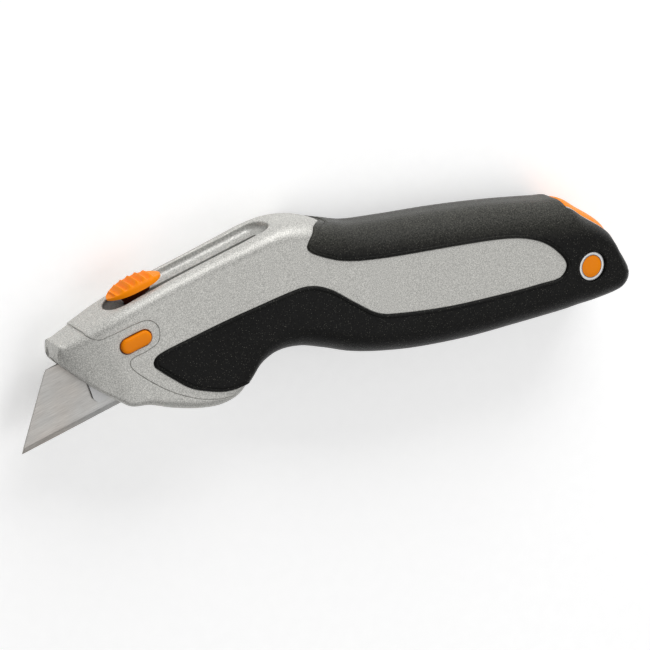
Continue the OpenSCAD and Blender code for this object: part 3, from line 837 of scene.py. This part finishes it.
def spine_u(x):
    """Station number at which the spine reaches x."""
    return float(np.interp(x, _sections[:, 0], _u_table))


def housing_heights(points, uv, d):
    """Housing: rounded rims, with the parting line's at the spine only."""
    h = -rounded(d["seam"], 0.2) - rounded(d["grip"], 0.2) - rounded(d["hollow"], 0.5)
    if "screw" in d:
        h -= rounded(d["screw"], 0.3)
    return h - rounded(d["parting"], 0.25) * (uv[:, 0] < 25)


def housing_edges():
    """Border of a housing, from the front of the spine back and round."""
    front = on_spine([SEAM_X, HOLLOW_A - HOLLOW_R], [0, 0])
    rear = on_spine([HOLLOW_B + HOLLOW_R], [0])
    return [
        Edge(front, "parting", 0.8, PARTING),
        Edge(hollow_line, "hollow", 0.5, (0.08, 0.2, 0.35, 0.55)),
        Edge(np.concatenate([rear, [[U_GRIP, 0.0]]]), "parting", 0.8, PARTING),
        Edge(grip_all[::-1], "grip", 0.5, FINE),
        Edge([[U_PAD, 5.0], [U_SEAM, 5.0]], "parting", 0.8, PARTING),
        Edge(seam_all[::-1], "seam", 0.5, FINE),
    ]


def hollow_liner(name, side):
    """Walls and floor of one half of the thumb hollow, down into its slot."""
    rim = surface(hollow_line[:, 0], hollow_line[:, 1])
    slot = half_stadium(SLOT_A, SLOT_B, SLOT_R)
    start = 0.45
    rings = [rim - [0, start, 0]]
    # Steps in from the rim, and the share of the way down to the floor at each
    inset = [(0.10, 0.28), (0.35, 0.55), (0.9, 0.80), (1.7, 0.95), (2.6, 1.0), (3.5, 1.0)]
    for step, fall in inset:
        t = step / (HOLLOW_R - SLOT_R)
        ring = rim.copy()
        ring[:, 0] += (slot[:, 0] - rim[:, 0]) * t
        ring[:, 2] += (slot[:, 1] - rim[:, 2]) * t
        ring[:, 1] = (rim[:, 1] - start) + (HOLLOW_FLOOR - rim[:, 1] + start) * fall
        rings.append(ring)
    edge = rings[-1].copy()
    rings.append(edge - [0, 0.25, 0])
    rings.append(edge - [0, 2.6, 0])
    faces = quads([(k, k + 1) for k in range(len(rings) - 1)], len(rim), len(rim) - 1)
    liner = half_piece(name, np.concatenate(rings), faces, side, 50)
    liner.data.materials.append(HOLLOW)
    return liner


def tail_frame(name, side):
    """Metal edge of the housing round the lid's opening, and the wall beside the lid."""
    u = np.linspace(spine_u(LID_X) - 0.12, END - 0.5, 46)
    s = section(u)
    line = spine_side(u, LID_Z)
    top = surface(*line.T)
    out = surface(*spine_side(u, LID_FRAME_Z).T)
    inward = TAIL_CENTRE - s[:, :2]
    foot = s[:, :2] + inward * (TAIL_WALL / np.linalg.norm(inward, axis=1))[:, None]
    grow = normals_at(to_map(line)) * 0.45
    rows = [at_height(foot, LID_Z), top + grow * 0.6, top + grow + [0, 0, 0.12], out + grow, out - grow,
            at_height(foot, LID_FRAME_Z)]
    n, count = len(u), len(rows)
    faces = quads([(k, (k + 1) % count) for k in range(count)], n, n - 1)
    faces += [tuple(k * n for k in range(count))[::-1], tuple(k * n + n - 1 for k in range(count))]
    return half_piece(name, np.concatenate(rows), faces, side)


def screw_hole(x, y):
    """Border of a screw's recess, as a hole of a shell."""
    angles = np.linspace(0, 2 * math.pi, 33)
    return Edge(seen_at(circle(x, y, SCREW_R, angles)), "screw", 0.45, (0.06, 0.15, 0.3))


def well(x, y, profile, side, material):
    """Round wall about a point of one side, from a closed list of radii and heights."""
    angles = np.linspace(0, 2 * math.pi * side, 40, endpoint=False)
    rings = [at_height(circle(x, y, r, angles), side * z) for r, z in profile + profile[:1]]
    wall = lofted("well", rings, False)
    wall.data.materials.append(material)
    return wall


def screw_well(x, y, material):
    """Wall of a screw's recess in the right side, from under the skin down to the screw's head."""
    top = float(surface(*seen_at([[x, y]])[0])[0, 2]) - 0.3
    r = SCREW_R
    return well(x, y, [(r, top), (r, 6.0), (r + 0.5, 6.0), (r + 0.5, top)], -1, material)


def build_housing(name, node, side):
    """One housing with its half of the thumb hollow, its wall at the lid and, on the right, its screw's
    recess.
    """
    holes = [screw_hole(*SCREWS[1])] if side < 0 else []
    body = shell(name, housing_edges(), holes, housing_heights, 1.7, side)
    body.data.materials.append(SILVER)
    liner = hollow_liner(name + "_hollow", side)
    rim = tail_frame(name + "_tail", side)
    rim.data.materials.append(SILVER)
    wells = [screw_well(*SCREWS[1], SILVER)] if side < 0 else []
    finish_piece(joined(name, [body, liner, rim] + wells), "body", None, "body_paint", node)


# ---------------- nose

# Release button: its middle, length and height, and the room round it
BUTTON_X = 38.3
BUTTON_Y = 18.2
BUTTON_L = 9.2
BUTTON_H = 4.1
BUTTON_GAP = 0.3
# Half width of the slot that the blade comes out of, and the station number where it starts
SLOT_HALF = 1.35
SLOT_U = 1.2


def nose_heights(points, uv, d):
    """Nose: rounded rims, and a top set down below the housings behind it."""
    h = -rounded(d["seam"], 0.2)
    if "button" in d:
        h -= rounded(d["button"], 0.25)
    on_top = 1 - ease(uv[:, 1], 1.0, 2.3)
    near_seam = ease(points[:, 0], 18.2, 21.0)
    return h - STEP_DOWN * on_top * near_seam


def button_outline():
    """Outline of the release button's pocket in side view."""
    return stadium(BUTTON_L / 2 + BUTTON_GAP, BUTTON_H / 2 + BUTTON_GAP, 14, BUTTON_X, BUTTON_Y)


def nose_half(name, side):
    """One half of the nose and finger guard, with the blade's slot and, on the left, the pocket."""
    slot_end = on_belly([38.5], [0])[0, 0]
    slot_u = np.linspace(slot_end, SLOT_U, 40)
    s = section(slot_u)
    slot_v = 5 - np.minimum(SLOT_HALF / np.maximum(s[:, 4] - s[:, 6], 1.4), 0.9)
    slot = np.column_stack([slot_u, slot_v])
    edges = [
        Edge([[0, 0], [spine_u(SEAM_X), 0]], "middle", 0.8),
        Edge(seam_all, "seam", 0.5, FINE),
        Edge([[U_SEAM, 5.0], [slot_end, 5.0]], "middle", 0.8),
        Edge(np.concatenate([[[slot_end, 5.0]], slot, [[SLOT_U, 5.0]]]), "slot", 0.6, (0.2,)),
        Edge([[SLOT_U, 5.0], [0, 5.0]], "middle", 0.6),
        Edge([[0, 5.0], [0, 0]], "tip", 0.5),
    ]
    holes = []
    if side > 0:
        pocket = button_outline()
        uv = seen_at(np.concatenate([pocket, pocket[:1]]))
        holes = [Edge(uv, "button", 0.35, (0.06, 0.15, 0.28))]
    return shell(name, edges, holes, nose_heights, 1.5, side, 1.0)


def button_well():
    """Walls of the release button's pocket."""
    rings = [at_height(button_outline(), z) for z in (WF - 0.2, WF - 2.6)]
    return lofted("button_well", rings, False)


def build_nose():
    """The nose and finger guard, with the release button's pocket."""
    parts = [nose_half("nose_left", 1), nose_half("nose_right", -1), button_well()]
    finish_piece(joined("nose_shell", parts), "body", SILVER, "body_paint", "nose_guard")


# ---------------- grips

def grip_heights(points, uv, d):
    """Grip: proud of the castings, with rounded rims and a groove along its edge. Over the spine's
    front it starts low, and the groove lies further in."""
    on_spine_edge = (1 - ease(uv[:, 1], 1.0, 2.1)) * (1 - ease(points[:, 0], 108, 112))
    groove_at = 1.0 + 1.1 * on_spine_edge
    width = 0.16 + 0.06 * on_spine_edge
    groove = (0.17 + 0.13 * on_spine_edge) * np.exp(-((d["grip"] - groove_at) / width) ** 2)
    rims = rounded(d["grip"], 0.75) + rounded(d["lid"], 0.5)
    rims += rounded(d["pivot"], 0.4) + 0.1 * np.exp(-((d["pivot"] - 0.9) / 0.2) ** 2)
    if "screw" in d:
        rims += rounded(d["screw"], 0.3)
    low_front = 0.15 * on_spine_edge * (1 - ease(d["grip"], groove_at - 0.1, groove_at + 0.5))
    proud = PROUD * (1 - on_spine_edge * (1 - ease(d["grip"], -1.5, 6.5)))
    return proud - rims - groove - low_front


# Radius of the grip's hole round the lid's pivot ring
PIVOT_HOLE_R = 4.75


def build_grip(name, node, side):
    """One grip, with the recess for the lid's pivot and, on the right, for two screws."""
    u_lid = spine_u(LID_X)
    opening = spine_side(np.linspace(u_lid, END, 60), LID_FRAME_Z)
    edges = [
        Edge(np.concatenate([pad_foot, pad_line, tongue_line]), "grip", 0.45, GRIP_RINGS),
        Edge(np.concatenate([tongue_line[-1:], grip_spine]), "grip", 0.4, SPINE_RINGS),
        Edge([[U_GRIP, 0.0], [u_lid, 0.0]], "middle", 0.9),
        Edge(np.concatenate([[[u_lid, 0.0]], opening]), "lid", 0.5, (0.08, 0.2, 0.35, 0.6)),
        Edge([[END, opening[-1, 1]], [END, 5.0]], "tip", 0.6),
        Edge([[END, 5.0], [U_PAD, 5.0]], "middle", 0.9),
    ]
    ring = circle(PIVOT_X, PIVOT_Y, PIVOT_HOLE_R, np.linspace(0, 2 * math.pi, 49))
    holes = [Edge(seen_at(ring), "pivot", 0.45, (0.06, 0.15, 0.3, 0.5, 0.7, 0.9, 1.1))]
    if side < 0:
        holes += [screw_hole(*SCREWS[0]), screw_hole(*SCREWS[2])]
    grip = shell(name, edges, holes, grip_heights, 1.2, side, 1.2)
    seat = [(PIVOT_HOLE_R - 0.01, 10.9), (4.4, 9.6), (4.4, 9.0), (5.2, 9.0), (5.2, 10.9)]
    parts = [grip, well(PIVOT_X, PIVOT_Y, seat, side, RUBBER)]
    if side < 0:
        parts += [screw_well(*SCREWS[k], RUBBER) for k in (0, 2)]
    grip.data.materials.append(RUBBER)
    grip = joined(name, parts)
    finish_piece(grip, "body", RUBBER, "grip_rubber", node)


# ---------------- controls

# Thumb cap: its front end, length, width and underside, and its ribs' number, first crest,
# pitch, height and steep share
CAP_X = 37.5
CAP_L = 16.8
CAP_W = 9.4
CAP_Y = 29.0
RIBS = 5
RIB_X = 41.6
RIB_PITCH = 2.3
RIB_HEIGHT = 0.95
RIB_DROP = 0.36
# Its stem: ends along x, half thickness and foot
STEM_FRONT = 42.2
STEM_REAR = 48.2
STEM_HALF = 1.2
STEM_FOOT = 21.6


def rib(x):
    """Height of the cap's ribs: each rises slowly from the front and drops steeply behind its crest."""
    t = (x - RIB_X) / RIB_PITCH
    if not -1 <= t <= RIBS - 1 + RIB_DROP:
        return 0.0
    t -= math.floor(t)
    return float(1 - ease(t, 0, RIB_DROP) if t < RIB_DROP else ease(t, RIB_DROP, 1.08))


def build_thumb_cap():
    """Ribbed thumb cap: a leaf-shaped button whose ribs run across it, on a flat stem."""
    along, wide = 190, 30
    middle = CAP_X + CAP_L / 2
    rings = []
    for i in range(along + 1):
        t = 2 * i / along - 1
        s = math.sin(math.pi / 2 * t ** 3 * 0.35 + math.pi / 2 * t * 0.65)
        x = middle + s * CAP_L / 2
        half = CAP_W / 2 * (1 - abs(s) ** 2.6) ** 0.62
        lip = 0.55 + 0.55 * (1 - s * s)
        crown = 1.15 * (1 - abs(s) ** 2.2) * (1 + 0.22 * s)
        top, low = [], []
        for k in range(wide + 1):
            t = math.sin(math.pi * (k / wide - 0.5))
            dome = (1 - abs(t) ** 2.6) ** 0.55
            ribbed = 1 - float(ease(abs(t), 0.62, 0.88))
            ridge = RIB_HEIGHT * (rib(x) - 0.4) * ribbed * (1 - s ** 4)
            y = CAP_Y + lip * min(1, dome * 2.2) + crown * dome + ridge
            top.append((x, y, half * t))
            low.append((x, CAP_Y, half * 0.9 * t))
        rings.append(np.array(top + low[::-1])[::-1])
    cap = lofted("thumb_cap_top", rings, True, 60)
    cap.data.materials.append(ORANGE)
    corners = [(STEM_FRONT, -STEM_HALF), (STEM_REAR, -STEM_HALF), (STEM_REAR, STEM_HALF),
               (STEM_FRONT, STEM_HALF)]
    stem_rings = [np.array([(x, y, z) for x, z in corners]) for y in (STEM_FOOT, CAP_Y + 0.4)]
    stem = lofted("thumb_stem", stem_rings)
    neck_rings = [np.column_stack([p[:, 0], np.full(len(p), y), p[:, 1]])
                  for y, p in ((26.6, stadium(4.2, 1.4, 8, 45.8)), (CAP_Y + 0.3, stadium(5.2, 2.2, 8, 46)))]
    neck = lofted("thumb_neck", neck_rings)
    # The stem and neck get the dark red-brown stem material: painted shade under the cap.
    for part in (stem, neck):
        part.data.materials.append(SHADED_STEM)
    whole = joined("thumb_cap", [cap, stem, neck])
    finish_piece(whole, "slider", None, "orange_plastic", "slider_button")


def block(name, x0, x1, y0, y1, z0, z1):
    """A plain block between two corners."""
    return lofted(name, [np.array([(x0, y0, z), (x1, y0, z), (x1, y1, z), (x0, y1, z)]) for z in (z0, z1)])


def build_release_button():
    """Stadium-shaped button with a softly crowned face, on a flange, with a pusher behind it."""
    # How far each ring lies in from the button's edge, and its height
    profile = [(0.0, 6.4), (0.0, 9.25), (0.08, 9.5), (0.25, 9.68), (0.5, 9.78), (0.9, 9.84), (1.5, 9.87)]
    rings = [at_height(stadium(BUTTON_L / 2 - inset, BUTTON_H / 2 - inset, 12, BUTTON_X, BUTTON_Y), z)
             for inset, z in profile]
    face = lofted("release_face", rings, True, 60)
    lip = 0.8
    flange = block("release_flange", BUTTON_X - BUTTON_L / 2 - lip, BUTTON_X + BUTTON_L / 2 + lip,
                   BUTTON_Y - BUTTON_H / 2 - lip, BUTTON_Y + BUTTON_H / 2 + lip, 6.45, 7.1)
    pusher = block("release_pusher", 35.8, 40.8, 19.45, 20.55, -1.1, 6.6)
    whole = joined("release_cap", [face, flange, pusher])
    finish_piece(whole, "button", ORANGE, "orange_plastic", "release_button")


def build_blade():
    """Trapezoid blade with a ground edge and two notches in its back."""
    length, height, bevel, half = 61.0, 19.0, 1.5, 0.3
    slant = 14.0
    # Notches: half their distance, their radius, and the depth of the round's centre
    notch_at, notch_r, notch_y = 6.5, 1.6, 1.2
    turn = np.linspace(0, math.pi, 9)
    back = [(length - slant, height)]
    for x in (length / 2 + notch_at, length / 2 - notch_at):
        back += [(x + notch_r, height)]
        back += [(x + notch_r * math.cos(a), height - notch_y - notch_r * math.sin(a)) for a in turn]
        back += [(x - notch_r, height)]
    outline = [(0.0, 0.0), (length, 0.0), (length - slant * bevel / height, bevel)] + back
    # The front's top corner is cut off
    outline += [(slant + 0.6, height), (slant - 0.4, height - 1)]
    outline += [((slant - 0.4) * bevel / (height - 1), bevel)]
    n = len(outline)
    links = [(i, (i + 1) % n) for i in range(n)] + [(2, n - 1)]
    flat, tris = triangulated(outline, links, 1)
    z = np.where(flat[:, 1] < 0.01, 0.02, half)
    points = np.concatenate([np.column_stack([flat, z]), np.column_stack([flat, -z])])
    blade = piece("blade_plate", points, two_skins(tris, len(flat)), 3)
    finish_piece(blade, "carrier", BLADE, "blade_steel", "blade")


def build_lid_cover():
    """Crowned skin over the tail lid's strip."""
    front, rear, half = 176.65, 187.9, 6.5
    sink, crown, depth = 0.7, 1.7, 1.3
    u = np.linspace(spine_u(front), spine_u(rear), 40)
    s = section(u)
    base = s[:, :2]
    tangent = np.gradient(base, axis=0)
    tangent /= np.linalg.norm(tangent, axis=1)[:, None]
    out = np.column_stack([-tangent[:, 1], tangent[:, 0]])
    step = np.arange(len(u))
    ends = np.clip(np.minimum(step / 15.0, step[::-1] / 9.0), 0, 1)
    rise = 0.35 + 0.65 * np.sqrt(1 - (1 - ends) ** 2)
    rings = []
    for k in range(len(u)):
        ring = []
        for t in np.linspace(-1, 1, 21):
            z = half * math.sin(math.pi / 2 * t)
            edge = math.sqrt(max(0.0, 1 - abs(math.sin(math.pi / 2 * t)) ** 8))
            h = -sink + (sink + crown * (1 - (z / half) ** 2)) * edge * rise[k]
            ring.append((*(base[k] + out[k] * h), z))
        for z in (half, 3.0, -3.0, -half):
            ring.append((*(base[k] - out[k] * depth), z))
        rings.append(np.array(ring))
    cover = lofted("lid_cover", rings, True, 50)
    finish_piece(cover, "lid", ORANGE, "orange_plastic")


def disc(radius, edge, z0, z1, bore=0.0):
    """Rings of points of a disc about the lid's pivot, on the left side. With a bore it's a ring."""
    profile = [(radius, z0), (radius, z1 - edge), (radius - edge * 0.3, z1 - edge * 0.3), (radius - edge, z1)]
    if bore:
        profile += [(bore + edge, z1), (bore + edge * 0.3, z1 - edge * 0.3), (bore, z1 - edge), (bore, z0)]
    else:
        profile += [(radius * 0.6, z1 + 0.05), (radius * 0.25, z1 + 0.07)]
    angles = np.linspace(0, 2 * math.pi, 64, endpoint=False)
    rings = [at_height(circle(PIVOT_X, PIVOT_Y, r, angles), z) for r, z in profile]
    if bore:
        rings.append(rings[0])
    return rings


def about_pivot(name, rings, side, caps):
    """A piece through a disc's rings, on the left side or mirrored to the right one."""
    return lofted(name, [(r * [1, 1, side])[::side] for r in rings], caps, 40)


def build_pivots():
    """Domed faces on the lid's two pivot pins, and the rounded rings that they turn in."""
    for side, label in ((1, "left"), (-1, "right")):
        face = about_pivot(label + "_pin_face", disc(3.24, 0.3, 10.9, 11.42), side, True)
        finish_piece(face, "lid", ORANGE, "orange_plastic")
        ring = about_pivot(label + "_ring", disc(4.3, 0.2, 6.9, 11.55, 3.34), side, False)
        finish_piece(ring, "body", RING, "ring_metal", label + "_pivot_ring")


build_housing("left_housing_shell", "left_housing", 1)
build_housing("right_housing_shell", "right_housing", -1)
build_nose()
build_grip("left_grip_skin", "left_grip", 1)
build_grip("right_grip_skin", "right_grip", -1)
build_thumb_cap()
build_release_button()
build_blade()
build_lid_cover()
build_pivots()

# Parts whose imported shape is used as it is
CAD_LOOKS = (
    (SCREW, ("housing_screws",)),
    (SPRING, ("blade_guides", "detent_plate", "blade_latch", "latch_pin", "slider_spring",
              "release_spring", "button_retainer", "magazine_spring")),
    (INNER, ("blade_carrier", "magazine_tray")),
    (BLADE, ("spare_blades",)),
    (ORANGE, ("tail_lid",)),
)
for material, nodes in CAD_LOOKS:
    for node in nodes:
        frame["nodes"][node].data.materials.clear()
        frame["nodes"][node].data.materials.append(material)


# ---------------- floor, light and camera

def floor_material():
    """Plain pale floor."""
    m = Nodes("floor")
    grain = m.noise(300, 2.0)
    m.colour(m.ramp(grain, (0.3, 0.90), (0.7, 0.93)))
    m.set(Roughness=0.9, Emission_Color=(1.0, 1.0, 1.0, 1.0), Emission_Strength=0.35)
    return m.material


def softbox(name, place, target, size, power):
    """A rectangular area light that points at a target."""
    light = bpy.data.lights.new(name, "AREA")
    light.shape = "RECTANGLE"
    light.size, light.size_y = size
    light.energy = power
    obj = added(name, light)
    obj.location = place
    obj.rotation_euler = (Vector(target) - Vector(place)).to_track_quat("-Z", "Y").to_euler()


def build_stage():
    """The floor, a plain world and two soft lights."""
    mesh = bpy.data.meshes.new("floor")
    reach = 4
    corners = [(-reach, -reach, 0), (reach, -reach, 0), (reach, reach, 0), (-reach, reach, 0)]
    mesh.from_pydata(corners, [], [(0, 1, 2, 3)])
    mesh.materials.append(floor_material())
    added("floor", mesh)
    sky = bpy.data.worlds.new("studio")
    bpy.context.scene.world = sky
    sky.use_nodes = True
    sky.node_tree.nodes["Background"].inputs["Color"].default_value = (1.0, 1.0, 1.0, 1)
    sky.node_tree.nodes["Background"].inputs["Strength"].default_value = 0.30
    softbox("key", (0.55, 0.90, 0.42), (0, 0, 0), (0.9, 0.5), 8.0)
    softbox("fill", (0.3, -0.35, 1.1), (0, 0, 0), (1.0, 1.0), 4.2)


# Where the camera stands, in drawing millimetres, and the directions to its picture's right and top
CAMERA_PLACE = (-185.218, 328.131, 675.768)
CAMERA_RIGHT = (0.8275, -0.2828, 0.485)
CAMERA_UP = (0.4399, 0.8634, -0.247)


def build_camera():
    """The camera looks down on the left side, from a little ahead of the knife and above its spine."""
    right = Vector(CAMERA_RIGHT).normalized()
    up = Vector(CAMERA_UP)
    up = (up - right * up.dot(right)).normalized()
    back = right.cross(up)
    camera = bpy.data.cameras.new("camera")
    camera.lens = 157.9
    camera.sensor_width = 36
    camera.clip_start = 0.05
    obj = added("camera", camera)
    turn = Matrix((right, up, back)).transposed()
    obj.matrix_world = Matrix.Translation(Vector(world(CAMERA_PLACE))) @ turn.to_4x4()
    bpy.context.scene.camera = obj


build_stage()
build_camera()
bpy.context.scene.view_settings.view_transform = "Standard"
